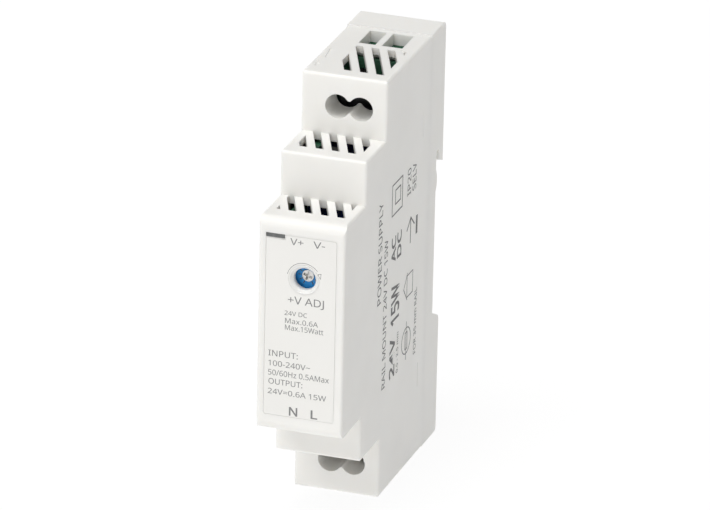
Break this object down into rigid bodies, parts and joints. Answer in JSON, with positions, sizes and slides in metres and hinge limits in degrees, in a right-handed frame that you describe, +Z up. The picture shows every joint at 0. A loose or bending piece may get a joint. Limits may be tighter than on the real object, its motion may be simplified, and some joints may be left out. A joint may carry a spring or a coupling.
{
  "type": "din rail power supply",
  "caption": "Slim stepped rail-mount power supply, one module wide, with screw terminals above and below, a front voltage adjuster, a lamp window and a sprung rail latch.",
  "frame": {"origin": "centre of the bounding box at the bottom face", "axes": "+Z up along the height, +Y towards the back and the rail, +X to the right seen from the front"},
  "size_m": [0.018, 0.061, 0.09],
  "materials": {
    "case_plastic": "fine moulded texture",
    "rear_plastic": "fine moulded texture",
    "label_film": "printed film",
    "light_pipe": "smoked translucent",
    "latch_plastic": "moulded",
    "spring_steel": "bright drawn wire",
    "terminal_green": "moulded",
    "tinned_brass": "tin plated",
    "board": "green solder mask on glass laminate",
    "trimmer_blue": "moulded",
    "rotor_metal": "plated",
    "lamp_chip": "clear encapsulation",
    "fuse_body": "moulded",
    "thermistor": "dipped coating",
    "varistor_blue": "dipped coating",
    "capacitor_yellow": "moulded box",
    "capacitor_blue": "dipped coating",
    "black_plastic": "moulded",
    "core_green": "coated ferrite",
    "enamel_wire": "enamelled copper",
    "chip_black": "moulded epoxy",
    "chip_brown": "ceramic chips",
    "can_aluminium": "drawn",
    "heatsink_aluminium": "bare plate",
    "sleeve_black": "shrink sleeve",
    "sleeve_blue": "shrink sleeve",
    "seal_rubber": "moulded",
    "ferrite": "sintered ferrite",
    "tape_yellow": "polyester tape",
    "screw_steel": "zinc plated",
    "solder": "solder",
    "insulation_film": "pressed insulation sheet",
    "shrink_film": "black shrink film over a winding"
  },
  "bodies": {
    "case": {"front_housing": "case_plastic", "rear_housing": "rear_plastic", "front_label": "label_film", "led_light_pipe": "light_pipe", "latch_spring": "spring_steel", "output_terminal_body": "terminal_green", "input_terminal_body": "terminal_green", "output_contact_bars": "tinned_brass", "input_contact_bars": "tinned_brass", "main_board": "board", "trimmer_body": "trimmer_blue", "status_led": "lamp_chip", "fuse": "fuse_body", "inrush_thermistor": "thermistor", "varistor": "varistor_blue", "filter_capacitor": "capacitor_yellow", "choke_base": "black_plastic", "choke_core": "core_green", "choke_windings": "enamel_wire", "bridge_rectifier": "chip_black", "bulk_capacitor_can": "can_aluminium", "bulk_capacitor_sleeve": "sleeve_black", "bulk_capacitor_seal": "seal_rubber", "transformer_core_front": "ferrite", "transformer_core_rear": "ferrite", "transformer_bobbin": "black_plastic", "transformer_winding": "enamel_wire", "transformer_tape": "tape_yellow", "switch_transistor": "chip_black", "heatsink": "heatsink_aluminium", "heatsink_screw": "screw_steel", "controller_chip": "chip_black", "optocoupler": "chip_black", "safety_capacitor": "capacitor_blue", "output_diode": "chip_black", "output_capacitor_cans": "can_aluminium", "output_capacitor_sleeves": "sleeve_blue", "output_inductor_core": "ferrite", "output_inductor_winding": "shrink_film", "chip_components": "chip_brown", "component_leads": "tinned_brass", "solder_joints": "solder", "insulation_sheet": "insulation_film"},
    "rail_latch": {"rail_latch": "latch_plastic"},
    "trimmer_rotor": {"trimmer_rotor": "rotor_metal"},
    "output_screw_positive": {"output_screw_positive": "screw_steel"},
    "output_cage_positive": {"output_cage_positive": "tinned_brass"},
    "output_screw_negative": {"output_screw_negative": "screw_steel"},
    "output_cage_negative": {"output_cage_negative": "tinned_brass"},
    "input_screw_neutral": {"input_screw_neutral": "screw_steel"},
    "input_cage_neutral": {"input_cage_neutral": "tinned_brass"},
    "input_screw_line": {"input_screw_line": "screw_steel"},
    "input_cage_line": {"input_cage_line": "tinned_brass"}
  },
  "joints": [
    {"name": "latch_pull", "type": "slide", "parent": "case", "child": "rail_latch", "axis": [0, 0, -1], "range_m": [0, 0.003], "stiffness_N_per_m": 1200, "springref_m": -0.002, "deforming": ["latch_spring"]},
    {"name": "adjuster_turn", "type": "hinge", "parent": "case", "child": "trimmer_rotor", "pos_m": [0.0005, -0.0277, 0.0555], "axis": [0, 1, 0], "range_deg": [-120, 120]},
    {"name": "output_positive_screw_turn", "type": "hinge", "parent": "case", "child": "output_screw_positive", "pos_m": [-0.00145, 0.0125, 0.08315], "axis": [0, 1, 0], "range_deg": [0, 1440]},
    {"name": "output_positive_cage_slide", "type": "slide", "parent": "case", "child": "output_cage_positive", "axis": [0, -1, 0], "range_m": [0, 0.002]},
    {"name": "output_negative_screw_turn", "type": "hinge", "parent": "case", "child": "output_screw_negative", "pos_m": [0.00345, 0.0125, 0.08315], "axis": [0, 1, 0], "range_deg": [0, 1440]},
    {"name": "output_negative_cage_slide", "type": "slide", "parent": "case", "child": "output_cage_negative", "axis": [0, -1, 0], "range_m": [0, 0.002]},
    {"name": "input_neutral_screw_turn", "type": "hinge", "parent": "case", "child": "input_screw_neutral", "pos_m": [-0.00145, 0.0125, 0.00685], "axis": [0, 1, 0], "range_deg": [0, 1440]},
    {"name": "input_neutral_cage_slide", "type": "slide", "parent": "case", "child": "input_cage_neutral", "axis": [0, -1, 0], "range_m": [0, 0.002]},
    {"name": "input_line_screw_turn", "type": "hinge", "parent": "case", "child": "input_screw_line", "pos_m": [0.00345, 0.0125, 0.00685], "axis": [0, 1, 0], "range_deg": [0, 1440]},
    {"name": "input_line_cage_slide", "type": "slide", "parent": "case", "child": "input_cage_line", "axis": [0, -1, 0], "range_m": [0, 0.002]}
  ],
  "couplings": [
    {"joint": "output_positive_screw_turn", "follows": "output_positive_cage_slide", "rad_per_m": 12566},
    {"joint": "output_negative_screw_turn", "follows": "output_negative_cage_slide", "rad_per_m": 12566},
    {"joint": "input_neutral_screw_turn", "follows": "input_neutral_cage_slide", "rad_per_m": 12566},
    {"joint": "input_line_screw_turn", "follows": "input_line_cage_slide", "rad_per_m": 12566}
  ]
}
